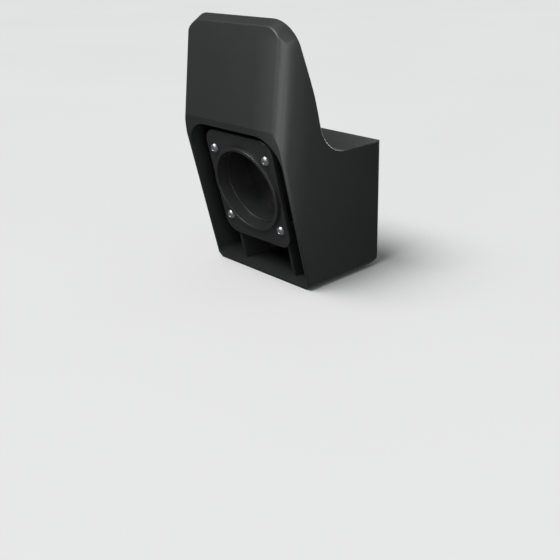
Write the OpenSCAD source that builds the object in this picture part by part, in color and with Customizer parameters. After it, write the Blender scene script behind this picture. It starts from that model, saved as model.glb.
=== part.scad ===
// Connector holder for a wall: a hollow moulded body with a leaning shield, a horn and a
// saddle behind it, and a flanged socket in its mouth.
// X runs across the flanks, Y into the wall, Z up. The origin is the middle of the four
// fixing holes, on the back face.

/* [Body] */
// Width across the two flanks
body_w = 114; // [106:1:130]
// Height from the floor to the tip of the horn
body_h = 206; // [198:0.5:215]
// Wall thickness of the moulding
wall = 3.2; // [2.4:0.1:4]
// Thickness of the back wall
back_t = 4; // [3:0.5:6]
// Depth of the floor, from the back face to the front lip
floor_depth = 82.5; // [80:0.5:90]
// Radius of the floor's long edges
floor_edge_r = 9; // [6:0.5:14]
// Radius of the upright rear edges
rear_edge_r = 7; // [5:0.5:10]
// Radius of the lower rear corner, seen from the side
rear_corner_r = 18; // [10:1:24]

/* [Shield and mouth] */
// Lean of the mouth plane, in degrees, with its top forward
mouth_lean = 13.1; // [11:0.1:15]
// Height of the hood line, where shield and mouth meet
hood_h = 130; // [126:1:134]
// Lean of the shield, in degrees, with its top back
shield_lean = 7.6; // [6:0.1:10]
// Thickness of the shield's front wall
shield_t = 4.5; // [3.5:0.1:5]
// Width of the shield's round upright edges, across the face
shield_edge_r = 8; // [6:0.5:12]
// Depth of those round edges, along the flanks
shield_edge_d = 14; // [10:0.5:18]
// Radius of the shield's top corners
shield_corner_r = 20; // [12:0.5:24]
// Slope of the rim along the shield's top, in degrees, rising to the rear
rim_slope = 31; // [18:1:36]
// Radius of the outer edges beside the mouth
mouth_edge_r = 2.2; // [1.5:0.1:5]
// Height of the bevelled lip below the hood line
lip_h = 5.7; // [4:0.1:7]
// Radius of the mouth's top corners
mouth_corner_r = 24; // [16:1:30]
// Thickness of the lip, from the mouth plane inwards
lip_t = 4; // [3:0.5:5]

/* [Horn and saddle] */
// Height of the saddle behind the horn
saddle_h = 105.5; // [103:0.5:112]
// Radius between saddle and horn
saddle_r = 28; // [20:1:32]
// Distance from the back face to the root of the horn
horn_root = 64.5; // [60:0.5:70]
// Lean of the horn's lower rear face, in degrees
horn_lean = 12.7; // [10:0.1:15]
// Height of the bend in the horn's rear face
horn_bend_h = 151; // [145:1:160]
// Lean of the horn's upper rear face, in degrees
tip_lean = 20.5; // [18:0.5:22]
// Radius of the bend in the horn's rear face
horn_bend_r = 180; // [100:5:220]
// Thickness of the ribs inside the horn
rib_t = 2.4; // [1.8:0.1:3.2]
// Spacing of the ribs inside the horn
rib_pitch = 21.6; // [18:0.1:24]
// Height of the ribs' lower edges above the hood line
rib_rise = 8; // [4:1:14]

/* [Socket] */
// Height of the socket's middle, along the mouth plane
socket_h = 75.5; // [72:0.5:77]
// Depth of the flange behind the mouth plane
flange_recess = 5; // [4:0.5:8]
// Width of the flange
flange_w = 77; // [75:0.5:80]
// Height of the flange
flange_h = 92; // [84:0.5:92]
// Thickness of the flange
flange_t = 4; // [3:0.5:5]
// Corner radius of the flange
flange_r = 12; // [6:0.5:14]
// Outer radius of the socket's barrel
barrel_r = 35; // [34:0.25:36]
// Height of the round collar on the flange's face
collar_h = 2.5; // [1.5:0.5:4]
// Radius of the round lead-in at the front of the socket
lead_in_r = 33; // [32.5:0.25:33.5]
// Depth of the lead-in, from the collar's face
lead_in_depth = 10; // [8:0.5:12]
// Radius of the keyed part of the socket
nose_r = 31.5; // [30:0.25:32]
// Distance from the socket's middle to its flat top
nose_flat = 25; // [22:0.5:28]
// Depth of the socket, from the collar's face
socket_depth = 30; // [26:1:32]
// Thickness of the socket's end wall
end_t = 3; // [2:0.5:4]

/* [Socket screws] */
// Distance between neighbouring screws
screw_pitch = 60; // [60:0.5:62]
// Radius of the screw's shank
shank_r = 2; // [1.5:0.1:2.2]
// Length of the shank below the head
shank_len = 18; // [14:1:22]
// Radius of the screw's head
head_r = 4; // [3.5:0.1:4.5]
// Height of the screw's head
head_h = 2.8; // [2.2:0.1:3.2]
// Width across the flats of the hexagon in the head
key_w = 3; // [2:0.5:3.5]
// Radius of the bosses that take the screws
boss_r = 4.5; // [4:0.1:5]
// Length of the lower bosses
boss_len = 28; // [24:1:36]
// Spare depth of a pilot hole below the screw's end
pilot_spare = 2; // [1:0.5:4]
// Thickness of the webs below the lower bosses
web_t = 2.6; // [2:0.1:3.5]
// Radial gap round a screw's shank
shank_gap = 0.1; // [0.05:0.05:0.3]

/* [Wall fixing] */
// Distance between the fixing holes, across
hole_dx = 92; // [88:1:94]
// Distance between the fixing holes, up
hole_dz = 60; // [50:1:70]
// Height of the hole pattern's middle above the floor
hole_mid_h = 56; // [50:1:60]
// Radius of a fixing hole
hole_r = 3.25; // [2.25:0.25:3.5]
// Radius of the seat round a fixing hole, on the back
seat_r = 8; // [6:0.5:9]
// Depth of the relief moulded into the back face
relief = 1.2; // [0.6:0.2:1.6]
// Width of the rim round that relief
relief_rim = 9; // [8:0.5:12]
// Corner radius of that relief
relief_r = 5; // [3:0.5:8]
// Width of the ribs that cross that relief
relief_rib = 3; // [2:0.5:5]

/* [Hidden] */
plastic = "#2c2d2d";
steel = "#b9bcbf";
arc_step = 5;
// Sides of a cutting shape stand this far outside the faces that bound the body
skin = 0.03;
far = 700;
half_w = body_w / 2;
hood_y = -(floor_depth + hood_h * tan(mouth_lean));
// Level depth of the shield's wall, and the height at which the horn has thinned to that wall
shield_d = shield_t / cos(shield_lean);
horn_end_h = (rear_y(0, 0) - shield_y(0) - shield_d) / (tan(tip_lean) + tan(shield_lean));
tip_y = max(rear_y(body_h, 0), shield_y(body_h) + shield_d);
crease_h = (body_h - (tip_y - shield_y(0)) * tan(rim_slope)) / (1 - tan(shield_lean) * tan(rim_slope));
inner_top = crease_h - wall;
mouth_top = (hood_h - lip_h) / cos(mouth_lean);
lip_low = mouth_top - mouth_corner_r * 3 / 4;
flange_back = flange_recess + flange_t;
collar_face = flange_recess - collar_h;
collar_r = (lead_in_r + flange_w / 2) / 2;
screw_places = [for (x = [-1, 1], z = [-1, 1])
    [x * screw_pitch / 2, socket_h + z * screw_pitch / 2]];
hole_places = [for (x = [-1, 1], z = [-1, 1])
    [x * hole_dx / 2, hole_mid_h + z * hole_dz / 2]];

// Depth of the horn's upper rear face at height z, moved into the wall by inset
function rear_y(z, inset) =
    lower_rear_y(horn_bend_h, 0) - (z - horn_bend_h) * tan(tip_lean) - inset / cos(tip_lean);

// Depth of the horn's lower rear face at height z, moved into the wall by inset
function lower_rear_y(z, inset) =
    -horn_root - (z - saddle_h) * tan(horn_lean) - inset / cos(horn_lean);

// Height at which those two faces meet
function bend_z(inset) =
    horn_bend_h - inset * (1 / cos(tip_lean) - 1 / cos(horn_lean)) / (tan(tip_lean) - tan(horn_lean));

// Depth of the shield's face at height z
function shield_y(z) = hood_y + (z - hood_h) * tan(shield_lean);

function unit(v) = v / norm(v);

// Points of the arc that rounds corner b between a and c, with radius wish or what half a side allows
function corner(a, b, c, wish) =
    let (u = unit(a - b), v = unit(c - b), half = acos(u * v) / 2)
    let (t = min(wish / tan(half), norm(a - b) / 2, norm(c - b) / 2), r = t * tan(half))
    let (mid = b + unit(u + v) * r / sin(half), from = b + u * t - mid, to = b + v * t - mid)
    let (start = atan2(from.y, from.x), turn = atan2(to.y, to.x) - start)
    let (sweep = turn > 180 ? turn - 360 : turn < -180 ? turn + 360 : turn)
    let (steps = max(2, ceil(abs(sweep) / arc_step)))
    [for (i = [0:steps]) mid + r * [cos(start + sweep * i / steps), sin(start + sweep * i / steps)]];

// Outline through corners [x, y, radius]
function outline(corners) =
    let (n = len(corners), p = [for (c = corners) [c.x, c.y]])
    [for (i = [0:n - 1]) each corners[i].z == 0 ? [p[i]] :
        corner(p[(i + n - 1) % n], p[i], p[(i + 1) % n], corners[i].z)];

// Corners of saddle and horn, from the back upwards, moved into the wall by inset
function saddle_corners(inset) = [
    [lower_rear_y(saddle_h - inset, inset), saddle_h - inset, saddle_r + inset],
    [lower_rear_y(bend_z(inset), inset), bend_z(inset), horn_bend_r + inset]];

// Corners of the horn's rear face below height z; past the horn's end the shield's wall runs on alone
function tip_corners(z) =
    z < horn_end_h ? [[rear_y(z, 0), z, 0]] :
    [[rear_y(horn_end_h, 0), horn_end_h, 0], [shield_y(z) + shield_d, z, 0]];

// Side profile of the whole body
function side_corners() = concat(
    [[0, 0, rear_corner_r], [0, saddle_h, 1.5]],
    saddle_corners(0),
    tip_corners(body_h + 1),
    [[shield_y(body_h + 1), body_h + 1, 0],
     [hood_y, hood_h, 2],
     [-floor_depth, 0, 1.2]]);

// Side profile of the hollow, open to the front and below
function hollow_corners() = concat(
    [[skin - back_t, wall - skin, rear_corner_r - wall], [skin - back_t, saddle_h - wall, 0]],
    saddle_corners(wall),
    [[rear_y(body_h, wall), body_h, 0], [-far, body_h, 0], [-far, -skin, 0]]);

// Extrudes a side profile in Y and Z across the body
module across(width) {
    rotate([90, 0, 90])
        translate([0, 0, -width / 2])
            linear_extrude(width)
                children();
}

// Extrudes a front outline in X and Z from depth y0 towards the front
module forward(y0, length) {
    translate([0, y0, 0])
        rotate([90, 0, 0])
            linear_extrude(length)
                children();
}

// Puts children in the mouth plane: x across, y into the body, z up along the plane
module at_mouth() {
    translate([0, -floor_depth, 0])
        rotate([mouth_lean, 0, 0])
            children();
}

// Front view of the body, moved into the wall by inset, from base up to top
module front_outline(inset, base, top, top_r) {
    x = half_w - inset;
    r = floor_edge_r - inset;
    polygon(outline([[-x, base, r], [x, base, r], [x, top, top_r], [-x, top, top_r]]));
}

// Plan of a half-open block with two round edges at y = near, towards y = reach;
// stretch draws the edges out along y
module plan_block(x, near, reach, r, stretch = 1) {
    end = (reach - near) / stretch;
    polygon([for (p = outline([[-x, 0, r], [x, 0, r], [x, end, 0], [-x, end, 0]]))
        [p.x, near + p.y * stretch]]);
}

// Block behind the shield's face, which rounds its two upright edges
module shield_block(inset, front) {
    translate([0, hood_y, hood_h])
        rotate([-shield_lean, 0, 0])
            translate([0, 0, -far / 2])
                linear_extrude(far)
                    plan_block(half_w + skin - inset, front - skin, far, shield_edge_r - inset,
                        (shield_edge_d - inset) / (shield_edge_r - inset));
}

// Block under the sloping rim, with the shield's two round top corners
module rim_block() {
    translate([0, tip_y, body_h])
        rotate([90 + rim_slope, 0, 0])
            translate([0, 0, -far / 2])
                linear_extrude(far)
                    plan_block(half_w + skin, 0, -far, shield_corner_r);
}

// Block behind the mouth plane, which rounds the flanks' front edges
module mouth_block() {
    at_mouth()
        translate([0, 0, -far / 2])
            linear_extrude(far)
                plan_block(half_w + skin, -skin, far, mouth_edge_r);
}

// Block in front of the back face, which rounds the two upright rear edges
module rear_block(inset, back) {
    translate([0, 0, -far / 2])
        linear_extrude(far)
            plan_block(half_w + skin - inset, back, -far, rear_edge_r - inset);
}

module outer_form() {
    intersection() {
        across(body_w + 2) polygon(outline(side_corners()));
        forward(far / 2, far) front_outline(0, -skin, body_h + far, 0);
        rim_block();
        shield_block(0, 0);
        mouth_block();
        rear_block(0, skin);
    }
}

module hollow() {
    intersection() {
        across(body_w) polygon(outline(hollow_corners()));
        forward(far / 2, far) front_outline(wall, wall, inner_top, shield_corner_r - wall);
        shield_block(wall, shield_t);
        rear_block(wall, -back_t);
    }
}

// Opens the hood down to its lip, with round top corners
module mouth_cut() {
    x = half_w - wall - skin;
    at_mouth()
        forward(lip_t + 1, far)
            polygon(outline([
                [-x, socket_h, 0], [x, socket_h, 0],
                [x, mouth_top, mouth_corner_r], [-x, mouth_top, mouth_corner_r]]));
}

// Plate behind the lip, which fills the hood's corners down to the mouth's arcs
module lip_plate() {
    at_mouth()
        forward(lip_t, lip_t + 1)
            translate([-half_w, lip_low]) square([body_w, mouth_top + lip_h + wall - lip_low]);
}

// Ribs that tie the shield to the horn's rear face
module horn_ribs() {
    for (i = [-1.5:1:1.5])
        translate([i * rib_pitch - rib_t / 2, -far / 2, hood_h + rib_rise])
            cube([rib_t, far / 2, body_h]);
}

// Round boss behind the flange, from the flange's back inwards
module boss(place, length) {
    translate([place.x, flange_back, place.y])
        rotate([-90, 0, 0])
            cylinder(r = boss_r, h = length, $fn = 48);
}

// Bosses for the socket's screws: the upper two run into the saddle, the lower two stand on webs
module bosses() {
    at_mouth()
        for (place = screw_places)
            if (place.y > socket_h)
                boss(place, horn_root);
            else {
                boss(place, boss_len);
                translate([place.x - web_t / 2, flange_back, -floor_depth])
                    cube([web_t, boss_len, floor_depth + place.y]);
            }
}

// Pilot holes in the bosses
module pilots() {
    at_mouth()
        for (place = screw_places)
            translate([place.x, flange_back - 1, place.y])
                rotate([-90, 0, 0])
                    cylinder(r = shank_r + shank_gap, h = 1 + shank_len - flange_t + pilot_spare, $fn = 32);
}

// Fixing holes through the back wall
module wall_holes() {
    for (place = hole_places)
        translate([place.x, 1, place.y])
            rotate([90, 0, 0])
                cylinder(r = hole_r, h = 1 + back_t + wall, $fn = 48);
}

// Relief in the back face, with a cross of ribs and a seat round each fixing hole
module back_relief() {
    x = half_w - relief_rim;
    low = rear_corner_r + 2;
    top = saddle_h - relief_rim;
    forward(1, 1 + relief)
        difference() {
            polygon(outline([[-x, low, relief_r], [x, low, relief_r],
                             [x, top, relief_r], [-x, top, relief_r]]));
            for (place = hole_places)
                translate(place) circle(r = seat_r, $fn = 48);
            translate([-half_w, hole_mid_h - relief_rib / 2]) square([body_w, relief_rib]);
            for (i = [-1, 1])
                translate([i * rib_pitch - relief_rib / 2, 0]) square([relief_rib, body_h]);
        }
}

module holder_body() {
    color(plastic)
        translate([0, 0, -hole_mid_h])
            difference() {
                outer_form();
                difference() {
                    hollow();
                    horn_ribs();
                    bosses();
                    lip_plate();
                }
                mouth_cut();
                pilots();
                wall_holes();
                back_relief();
            }
}

// Cylinder along the socket's axis, from depth y0 behind the mouth plane inwards
module on_axis(y0, r, length) {
    translate([0, y0, socket_h])
        rotate([-90, 0, 0])
            cylinder(r = r, h = length, $fn = 128);
}

// Socket with a round lead-in and a flat-topped seat behind it
module socket_insert() {
    x = flange_w / 2;
    z = flange_h / 2;
    color(plastic)
        translate([0, 0, -hole_mid_h])
            at_mouth()
                difference() {
                    union() {
                        forward(flange_back, flange_t)
                            translate([0, socket_h])
                                polygon(outline([[-x, -z, flange_r], [x, -z, flange_r],
                                                 [x, z, flange_r], [-x, z, flange_r]]));
                        on_axis(collar_face, collar_r, collar_h + 1);
                        on_axis(flange_back - 1, barrel_r, collar_face + socket_depth + end_t - flange_back + 1);
                    }
                    on_axis(collar_face - 1, lead_in_r, lead_in_depth + 1);
                    intersection() {
                        on_axis(collar_face + 1, nose_r, socket_depth - 1);
                        translate([-far / 2, 0, socket_h + nose_flat - far])
                            cube([far, far, far]);
                    }
                    for (place = screw_places)
                        translate([place.x, flange_recess - 1, place.y])
                            rotate([-90, 0, 0])
                                cylinder(r = shank_r + shank_gap, h = flange_t + 2, $fn = 32);
                }
}

// Four dome-headed screws with a hexagon in the head
module socket_screws() {
    dome_r = (head_r * head_r + head_h * head_h) / (2 * head_h);
    color(steel)
        translate([0, 0, -hole_mid_h])
            at_mouth()
                for (place = screw_places)
                    translate([place.x, flange_recess, place.y])
                        rotate([-90, 0, 0]) {
                            difference() {
                                union() {
                                    intersection() {
                                        translate([0, 0, -head_h])
                                            cylinder(r = head_r, h = head_h, $fn = 48);
                                        translate([0, 0, dome_r - head_h])
                                            sphere(r = dome_r, $fn = 64);
                                    }
                                    translate([0, 0, -head_h / 2])
                                        cylinder(r = shank_r, h = shank_len + head_h / 2, $fn = 32);
                                }
                                translate([0, 0, -head_h - 1])
                                    cylinder(d = key_w / cos(30), h = head_h * 0.6 + 1, $fn = 6);
                            }
                        }
}

holder_body();
socket_insert();
socket_screws();
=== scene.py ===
# %% [markdown]
# # A connector holder for a wall
# The holder is a dark plastic moulding that is screwed to a wall. It has a leaning shield with a
# hollow horn behind it, a saddle between horn and wall, and a mouth with a flanged socket inside.
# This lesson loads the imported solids, rolls their edges over as a mould does, and gives each
# piece the finish of the real one.

import math

import bmesh
import bpy
import numpy as np
from mathutils import Euler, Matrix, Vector


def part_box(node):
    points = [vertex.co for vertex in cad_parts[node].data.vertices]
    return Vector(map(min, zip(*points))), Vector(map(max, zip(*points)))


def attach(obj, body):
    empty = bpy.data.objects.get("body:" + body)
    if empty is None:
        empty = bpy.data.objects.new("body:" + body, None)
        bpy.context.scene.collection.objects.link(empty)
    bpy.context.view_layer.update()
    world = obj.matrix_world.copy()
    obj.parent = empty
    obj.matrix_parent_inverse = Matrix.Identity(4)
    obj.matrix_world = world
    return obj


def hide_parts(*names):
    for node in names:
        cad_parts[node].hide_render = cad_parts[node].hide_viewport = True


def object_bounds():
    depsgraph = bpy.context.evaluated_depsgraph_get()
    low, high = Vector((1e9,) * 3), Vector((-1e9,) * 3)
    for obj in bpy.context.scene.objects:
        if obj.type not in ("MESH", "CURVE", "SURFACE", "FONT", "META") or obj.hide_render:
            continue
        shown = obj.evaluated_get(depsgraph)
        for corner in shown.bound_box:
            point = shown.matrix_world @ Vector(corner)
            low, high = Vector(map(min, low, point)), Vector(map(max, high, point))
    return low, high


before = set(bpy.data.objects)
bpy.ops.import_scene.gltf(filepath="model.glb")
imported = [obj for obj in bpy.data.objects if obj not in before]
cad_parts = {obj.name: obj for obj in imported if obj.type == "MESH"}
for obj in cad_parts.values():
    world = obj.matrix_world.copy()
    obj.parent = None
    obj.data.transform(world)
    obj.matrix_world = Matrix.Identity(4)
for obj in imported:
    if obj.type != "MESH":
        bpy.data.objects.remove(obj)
cad_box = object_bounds()
MM = 0.001
floor_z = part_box("holder_body")[0].z
print("solids:", sorted(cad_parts))
print("box in mm:", [[round(v / MM, 1) for v in corner] for corner in cad_box])

# %% [markdown]
# ## Where the picture is taken from
# The upright and the level edges of the holder run to two vanishing points in the photograph.
# They fix the focal length and the three turns of the camera, and the estimated width of the
# holder fixes the distance. So the camera is set by numbers and not by eye.

# %% Camera
SENSOR_MM, PICTURE_PX, FOCAL_PX = 36.0, 560, 841.8
CAMERA_AT = (0.4881, -0.5037, 0.2118)
CAMERA_TURNS_DEG = (66.884, 1.469, 47.295)
CLIP_NEAR, CLIP_FAR = 0.01, 100.0

scene = bpy.context.scene
lens = bpy.data.cameras.new("studio_camera")
lens.sensor_width = SENSOR_MM
lens.lens = FOCAL_PX / PICTURE_PX * SENSOR_MM
lens.clip_start, lens.clip_end = CLIP_NEAR, CLIP_FAR
camera = bpy.data.objects.new("studio_camera", lens)
camera.location = CAMERA_AT
camera.rotation_euler = Euler([math.radians(turn) for turn in CAMERA_TURNS_DEG])
scene.collection.objects.link(camera)
scene.camera = camera
scene.view_settings.view_transform = "Standard"
print("lens %.1f mm" % lens.lens)

# %% [markdown]
# ## Shader sums as Python sums
# A finish is a small sum: a tone plus a little noise, less some wear. One class wraps a socket,
# so that a sum in Python adds the Math nodes by itself, and the sum can be read at a glance.


# %% Values
class Value:
    """A shader socket that takes part in Python sums: each operator adds one Math node."""

    def __init__(self, finish, socket):
        self.finish, self.socket = finish, socket

    def operate(self, operation, first, second):
        return self.finish.node("ShaderNodeMath", {"operation": operation}, {0: first, 1: second})

    def __add__(self, other):
        return self.operate("ADD", self, other)

    def __sub__(self, other):
        return self.operate("SUBTRACT", self, other)

    def __rsub__(self, other):
        return self.operate("SUBTRACT", other, self)

    def __mul__(self, other):
        return self.operate("MULTIPLY", self, other)

    __radd__, __rmul__ = __add__, __mul__

    def ramp(self, low, high, kind="LINEAR"):
        """0 below low, 1 above high, and a straight line between."""
        return self.finish.node("ShaderNodeMapRange", {"interpolation_type": kind},
                                {"Value": self, "From Min": low, "From Max": high})

    def step(self, low, high):
        """0 below low, 1 above high, and a smooth step between."""
        return self.ramp(low, high, "SMOOTHSTEP")


# %% [markdown]
# ## One maker of nodes
# Each material of the holder is one Principled shader with a few nodes before it. They could be
# wired one by one. A class with one method that makes a node, sets it and links it keeps every
# finish to a few lines.


# %% Finishes
class Finish:
    """A material with one Principled shader, and the nodes that feed it."""

    def __init__(self, name, **constants):
        self.material = bpy.data.materials.new(name)
        self.material.use_nodes = True
        self.tree = self.material.node_tree
        self.shader = self.tree.nodes["Principled BSDF"]
        for socket, value in constants.items():
            self.shader.inputs[socket.replace("_", " ")].default_value = value
        self.place = self.node("ShaderNodeTexCoord", output="Object")

    def node(self, kind, settings=None, inputs=None, output=0):
        """Makes a node: its settings first, then the values or links of its sockets."""
        made = self.tree.nodes.new(kind)
        for key, value in (settings or {}).items():
            setattr(made, key, value)
        for key, value in (inputs or {}).items():
            self.feed(made.inputs[key], value)
        return Value(self, made.outputs[output])

    def feed(self, socket, value):
        """Links a Value to a socket, or sets the socket to a plain number or colour."""
        if isinstance(value, Value):
            self.tree.links.new(value.socket, socket)
        else:
            socket.default_value = value

    def noise(self, size, detail, stretch=None):
        """Noise whose blotches are about size metres across, drawn out by stretch."""
        place = self.place
        if stretch:
            place = self.node("ShaderNodeMapping", {"vector_type": "POINT"},
                              {"Vector": place, "Scale": tuple(1 / s for s in stretch)})
        return self.node("ShaderNodeTexNoise", None,
                         {"Vector": place, "Scale": 1 / size, "Detail": detail})

    def axis(self, name):
        """One of the three object coordinates, in metres."""
        return self.node("ShaderNodeSeparateXYZ", None, {"Vector": self.place}, output=name)

    def mix(self, share, first, second):
        """A colour between first and second."""
        return self.node("ShaderNodeMix", {"data_type": "RGBA"},
                         {0: share, 6: first, 7: second}, output=2)

    def bump(self, height, depth, strength):
        """A fine relief of that depth in metres, for the Normal socket."""
        return self.node("ShaderNodeBump", None,
                         {"Height": height, "Distance": depth, "Strength": strength})

    def finish(self, colour, roughness, normal=None):
        """Feeds the shader and hands the material over."""
        self.feed(self.shader.inputs["Base Color"], colour)
        self.feed(self.shader.inputs["Roughness"], roughness)
        if normal is not None:
            self.feed(self.shader.inputs["Normal"], normal)
        return self.material


# %% [markdown]
# ## Charcoal moulding
# The body is matt charcoal plastic with a fine grain, as an etched mould leaves it. From afar the
# grain only softens the highlights. Close up it is a bump a few hundredths of a millimetre deep.
# Edges that are rubbed in use are made a little paler and smoother, and the saddle has fine
# scuffs that run across it.
#
# In the photograph the shield's face grows brighter towards its right upright edge, where the
# light falls on it. Wear from a hand, the light or a slight crown of the face could each do that,
# and one photograph can't tell them apart. Here that is a painted highlight: a paler tone in the
# colour, which adds no shape that the solid lacks. It grows on the right side only, from 29 to 51
# mm right of the middle, and fades towards the rim and behind the leaning face.


# %% The body's finish
CHARCOAL, CHARCOAL_PALE = (0.006, 0.0063, 0.0062, 1), (0.0125, 0.0131, 0.0129, 1)
# The palest tone is a painted highlight on the shield's right upright edge, not a colour of the
# plastic
CHARCOAL_PAINTED_HIGHLIGHT = (0.0168, 0.0176, 0.0173, 1)
GRAIN_SIZE, MOTTLE_SIZE, CLOUD_SIZE = 0.45 * MM, 1.6 * MM, 38 * MM
GRAIN_DEPTH, GRAIN_STRENGTH = 0.1 * MM, 0.6
RUB_SIZE, RUB_FROM, RUB_TO = 9 * MM, 0.42, 0.66
SCUFF_SIZE, SCUFF_STRETCH = 2.2 * MM, (22, 1, 1)
SCUFF_FROM, SCUFF_TO = 0.56, 0.72
SADDLE_LOW, SADDLE_HIGH = 47 * MM, 50 * MM
SADDLE_FRONT, SADDLE_BACK = -74 * MM, -66 * MM
# The leaning face: its slope, and its depth at the origin's height, to a third of a millimetre
FACE_SLOPE, FACE_Y = math.tan(math.radians(7.6)), -122.9 * MM
# Where the painted highlight grows, right of the middle only, and how far behind the face it fades
HIGHLIGHT_FROM, HIGHLIGHT_TO = 29 * MM, 51 * MM
HIGHLIGHT_NEAR, HIGHLIGHT_DEEP = 8 * MM, 36 * MM
RIM_LOW, RIM_HIGH = 134 * MM, 146 * MM


def charcoal_moulding():
    f = Finish("charcoal_moulding", Specular_IOR_Level=0.16)
    grain, mottle = f.noise(GRAIN_SIZE, 3), f.noise(MOTTLE_SIZE, 3)
    cloud = f.noise(CLOUD_SIZE, 2)
    side, back, up = f.axis("X"), f.axis("Y"), f.axis("Z")

    rolled = f.node("ShaderNodeAttribute", {"attribute_name": "rolled"}, output="Fac")
    rubbed = rolled * f.noise(RUB_SIZE, 3).step(RUB_FROM, RUB_TO)
    saddle = up.step(SADDLE_LOW, SADDLE_HIGH) * back.step(SADDLE_FRONT, SADDLE_BACK)
    scuffs = f.noise(SCUFF_SIZE, 4, SCUFF_STRETCH).step(SCUFF_FROM, SCUFF_TO) * saddle
    share = 0.25 + 0.35 * cloud + 0.3 * mottle + 0.35 * rubbed + 0.3 * scuffs
    moulded = f.mix(share, CHARCOAL, CHARCOAL_PALE)

    behind_face = back - up * FACE_SLOPE - FACE_Y
    near_face = 1 - behind_face.step(HIGHLIGHT_NEAR, HIGHLIGHT_DEEP)
    below_rim = 1 - up.step(RIM_LOW, RIM_HIGH)
    # A painted highlight: the face turns paler towards its right upright edge, where the light
    # falls, and not towards the left one
    painted_highlight = side.ramp(HIGHLIGHT_FROM, HIGHLIGHT_TO) * near_face * below_rim * (0.75 + 0.5 * mottle)
    colour = f.mix(painted_highlight, moulded, CHARCOAL_PAINTED_HIGHLIGHT)

    roughness = 0.38 + 0.12 * mottle - 0.07 * rubbed - 0.08 * scuffs
    relief = f.bump(grain * 0.6 + mottle * 0.4, GRAIN_DEPTH, GRAIN_STRENGTH)
    return f.finish(colour, roughness, relief)


# %% [markdown]
# ## Satin socket and bright screws
# The socket is taken to be a separate black moulding, smoother than the body, as a polished mould
# would make it. Its screws are bright, so they are taken to be stainless steel. A noise drawn out
# along one way gives them the fine lines of brushed metal.


# %% The socket's and the screws' finishes
BLACK, BLACK_PALE = (0.0045, 0.0046, 0.0048, 1), (0.0095, 0.0097, 0.01, 1)
BLACK_CLOUD_SIZE, HAZE_SIZE, HAZE_DEPTH = 16 * MM, 1.1 * MM, 0.02 * MM
STEEL, STEEL_PALE = (0.4, 0.405, 0.415, 1), (0.58, 0.585, 0.59, 1)
BRUSH_SIZE, BRUSH_STRETCH, BRUSH_DEPTH = 0.25 * MM, (14, 1, 1), 0.01 * MM


def black_satin():
    f = Finish("black_satin", Specular_IOR_Level=0.32)
    cloud, haze = f.noise(BLACK_CLOUD_SIZE, 3), f.noise(HAZE_SIZE, 3)
    return f.finish(f.mix(cloud, BLACK, BLACK_PALE), 0.34 + 0.12 * haze,
                    f.bump(haze, HAZE_DEPTH, 0.4))


def bright_steel():
    f = Finish("bright_steel", Metallic=1.0)
    brush = f.noise(BRUSH_SIZE, 2, BRUSH_STRETCH)
    return f.finish(f.mix(brush, STEEL, STEEL_PALE), 0.26 + 0.14 * brush,
                    f.bump(brush, BRUSH_DEPTH, 0.3))


finishes = {"shell": charcoal_moulding(), "socket": black_satin(), "screw": bright_steel()}
print("finishes:", [material.name for material in finishes.values()])

# %% [markdown]
# ## Rolled edges
# No moulded edge is knife sharp: the tool leaves a radius of about a millimetre on the edges that
# the hand meets, and less inside. A bevel on a merged copy of each solid gives it. The faces of
# the bevel are marked, so that the finish can find them, and what the bevel folds to nothing is
# merged away, so that the mesh stays closed.


# %% Copies with rolled edges
MERGE = 0.002 * MM
FLAT, CREASE, SHARP = math.radians(0.4), math.radians(26), math.radians(34)


def rolled_copy(node, name, slot, rounds):
    """A merged copy of a solid. rounds is a list of (radius, steps, test): each rolls the convex
    edges that pass the test, which sees an edge and its two faces, by a bevel of that radius."""
    bm = bmesh.new()
    bm.from_mesh(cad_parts[node].data)
    bmesh.ops.remove_doubles(bm, verts=bm.verts, dist=MERGE)
    bmesh.ops.dissolve_limit(bm, angle_limit=FLAT, verts=bm.verts, edges=bm.edges)
    mark = bm.faces.layers.float.new("rolled")
    for radius, steps, test in rounds:
        bm.normal_update()
        edges = [edge for edge in bm.edges if len(edge.link_faces) == 2 and edge.is_convex
                 and edge.calc_face_angle() > CREASE and test(edge, *edge.link_faces)]
        made = bmesh.ops.bevel(bm, geom=edges, offset=radius, offset_type="OFFSET",
                               segments=steps, profile=0.5, affect="EDGES",
                               clamp_overlap=False, loop_slide=True)
        for face in made["faces"]:
            face[mark] = 1.0
        print(name, "rolled", len(edges), "edges by %.2f mm" % (radius / MM))
    bmesh.ops.remove_doubles(bm, verts=bm.verts, dist=MERGE)
    bmesh.ops.dissolve_degenerate(bm, dist=MERGE, edges=bm.edges)
    mesh = bpy.data.meshes.new(name)
    bm.to_mesh(mesh)
    bm.free()
    mesh.shade_smooth()
    mesh.set_sharp_from_angle(angle=SHARP)
    mesh.materials.append(finishes[slot])
    piece = bpy.data.objects.new(name, mesh)
    scene.collection.objects.link(piece)
    weigh = piece.modifiers.new("flat_faces", "WEIGHTED_NORMAL")
    weigh.keep_sharp = True
    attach(piece, "root")
    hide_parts(node)
    print(name, "has", len(mesh.polygons), "faces")
    return piece


# %% [markdown]
# ## Which edges are rolled
# A hand meets the outer edges of the flanks and the rim along the top, so they get the large
# radius. The edges of the mouth get a small one, and so does every outer edge of the socket.
# The screws are turned and already have their domes, so they are left as they are.

# %% The three pieces
HAND_ROLL, MOUTH_ROLL, SOCKET_ROLL = 0.9 * MM, 0.35 * MM, 0.4 * MM
HAND_STEPS, FINE_STEPS = 3, 2
FLANK_REACH, RIM_REACH = 0.3 * MM, 30 * MM
# Least cosine of a face's normal with the sideways axis, and with the way that the mouth faces
FACES_SIDE, IN_MOUTH_PLANE = 0.99, 0.999
MOUTH_LEAN = math.radians(13.1)
MOUTH_WAY = Vector((0, -math.cos(MOUTH_LEAN), -math.sin(MOUTH_LEAN)))
HALF_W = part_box("holder_body")[1].x


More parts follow.
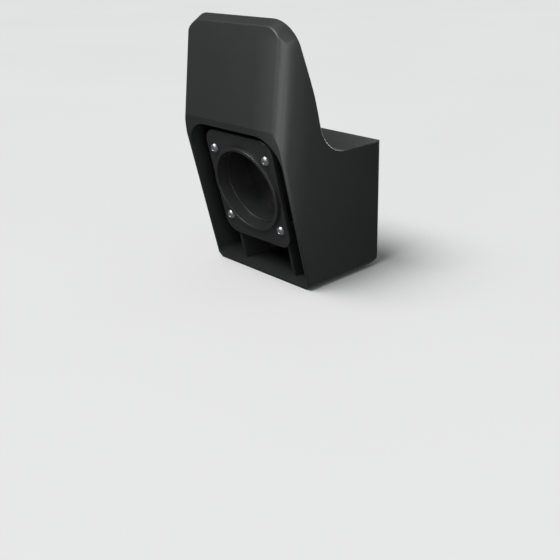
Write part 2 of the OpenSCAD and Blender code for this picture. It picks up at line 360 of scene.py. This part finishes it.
def on_flank(face):
    """Whether a face is part of a flank's flat outside."""
    at_side = abs(face.calc_center_median().x) > HALF_W - FLANK_REACH
    return abs(face.normal.x) > FACES_SIDE and at_side


def hand_edge(edge, a, b):
    """Edges of the flanks, and of the rim along the top."""
    middle = (edge.verts[0].co + edge.verts[1].co) / 2
    return on_flank(a) or on_flank(b) or middle.z > cad_box[1].z - RIM_REACH


def mouth_edge(edge, a, b):
    """Edges between the mouth's own plane and another face."""
    return (a.normal.dot(MOUTH_WAY) > IN_MOUTH_PLANE) != (b.normal.dot(MOUTH_WAY) > IN_MOUTH_PLANE)


def any_edge(edge, a, b):
    """Every convex edge."""
    return True


shell = rolled_copy("holder_body", "holder_shell", "shell",
                    [(HAND_ROLL, HAND_STEPS, hand_edge), (MOUTH_ROLL, FINE_STEPS, mouth_edge)])
socket = rolled_copy("socket_insert", "plug_socket", "socket",
                     [(SOCKET_ROLL, FINE_STEPS, any_edge)])
screws = rolled_copy("socket_screws", "flange_screws", "screw", [])

# %% [markdown]
# ## Floor
# The holder stands on a plain pale floor, as in a studio. The floor neither shows in the plastic
# nor throws light back at it, because a charcoal moulding on a white sheet would turn grey.


# %% Floor
FLOOR_R, FLOOR_RINGS, FLOOR_SPOKES, FLOOR_HUB = 30.0, 12, 48, 0.02
FLOOR_PAINT, FLOOR_PALE, SPECK_SIZE = (0.8, 0.8, 0.795, 1), (0.83, 0.83, 0.825, 1), 0.5


def disc(radius, rings, spokes):
    """Points of a flat disc: at share s of a spoke with angle t, the point is
    radius * s**2 * (cos t, sin t, 0), so the rings crowd towards the middle."""
    s, t = np.meshgrid(np.linspace(FLOOR_HUB, 1, rings),
                       np.linspace(0, 2 * np.pi, spokes, endpoint=False), indexing="ij")
    reach = radius * s**2
    points = np.stack([reach * np.cos(t), reach * np.sin(t), np.zeros_like(s)], -1)
    at = np.arange(rings * spokes).reshape(rings, spokes)
    inner, outer = at[:-1], at[1:]
    quads = np.stack([inner, outer, np.roll(outer, -1, 1), np.roll(inner, -1, 1)], -1)
    return points.reshape(-1, 3), quads.reshape(-1, 4).tolist() + [at[0].tolist()]


points, faces = disc(FLOOR_R, FLOOR_RINGS, FLOOR_SPOKES)
ground = bpy.data.meshes.new("studio_floor")
ground.from_pydata((points + [0, 0, floor_z]).tolist(), [], faces)
paint = Finish("pale_floor")
speck = paint.noise(SPECK_SIZE, 2)
ground.materials.append(paint.finish(paint.mix(speck, FLOOR_PAINT, FLOOR_PALE), 0.6 + 0.1 * speck))
floor = bpy.data.objects.new("studio_floor", ground)
scene.collection.objects.link(floor)
floor.visible_glossy = floor.visible_diffuse = False
print("floor of", len(faces), "faces")

# %% [markdown]
# ## Light
# Daylight from above makes the floor even and gives the soft shadow. Three soft boxes light the
# mouldings alone: a key above the front draws the shield's face, a strip at the right draws its
# rounded upright edge, and a fill behind keeps the back readable. Steel mirrors far more than
# charcoal plastic does, so the screws have a weak box of their own.


# %% Lights
AIM = Vector((0, -0.09, 0.06))
DAY_ANGLE = math.radians(40)


def towards(azimuth, height):
    """The direction from the holder to a light: azimuth from the front to the right, then
    height, both in degrees."""
    a, h = math.radians(azimuth), math.radians(height)
    return Vector((math.sin(a) * math.cos(h), -math.cos(a) * math.cos(h), math.sin(h)))


def hang(name, kind, way, distance, energy, **settings):
    """Hangs a light in a direction from AIM, a point in the holder's front, and turns it there."""
    lamp = bpy.data.lights.new(name, kind)
    lamp.energy = energy
    for key, value in settings.items():
        setattr(lamp, key, value)
    light = bpy.data.objects.new(name, lamp)
    light.location = AIM + way * distance
    light.rotation_euler = way.to_track_quat("Z", "Y").to_euler()
    light.visible_camera = False
    scene.collection.objects.link(light)
    print(name, "hangs at", [round(v, 2) for v in light.location])
    return light


def softbox(name, way, distance, watts, wide, high, pieces):
    """A soft box close to the holder, which lights these pieces and leaves the floor even."""
    box = hang(name, "AREA", way, distance, watts, shape="RECTANGLE", size=wide, size_y=high)
    lit = bpy.data.collections.new(name + "_lights")
    for piece in pieces:
        lit.objects.link(piece)
    box.light_linking.receiver_collection = lit


mouldings = [shell, socket]
hang("day", "SUN", towards(-20, 62), distance=1.5, energy=2.9, angle=DAY_ANGLE)
softbox("key", towards(-8, 46), distance=0.6, watts=6.7, wide=0.3, high=0.3, pieces=mouldings)
softbox("strip", towards(67, 10), distance=0.25, watts=1.3, wide=0.2, high=0.35, pieces=mouldings)
softbox("back_fill", towards(192, 6), distance=0.9, watts=7, wide=0.5, high=0.5, pieces=mouldings)
softbox("glint", towards(20, 30), distance=0.6, watts=0.45, wide=0.3, high=0.3, pieces=[screws])

# %% [markdown]
# ## Sky
# A dim, slightly blue sky fills the shadows. Where the camera looks past the floor it sees a pale
# backdrop instead, as behind a studio table, so a low view has no dark horizon.

# %% Sky and backdrop
SKY, SKY_STRENGTH, BACKDROP = (0.95, 0.97, 1.0, 1), 0.2, (0.8, 0.8, 0.795, 1)

world = bpy.data.worlds.new("pale_sky")
world.use_nodes = True
nodes, links = world.node_tree.nodes, world.node_tree.links
sky = nodes["Background"]
sky.inputs["Color"].default_value = SKY
sky.inputs["Strength"].default_value = SKY_STRENGTH
backdrop = nodes.new("ShaderNodeBackground")
backdrop.inputs["Color"].default_value = BACKDROP
seen = nodes.new("ShaderNodeLightPath")
both = nodes.new("ShaderNodeMixShader")
links.new(seen.outputs["Is Camera Ray"], both.inputs[0])
links.new(sky.outputs[0], both.inputs[1])
links.new(backdrop.outputs[0], both.inputs[2])
links.new(both.outputs[0], nodes["World Output"].inputs["Surface"])
scene.world = world
print("sky strength", SKY_STRENGTH)
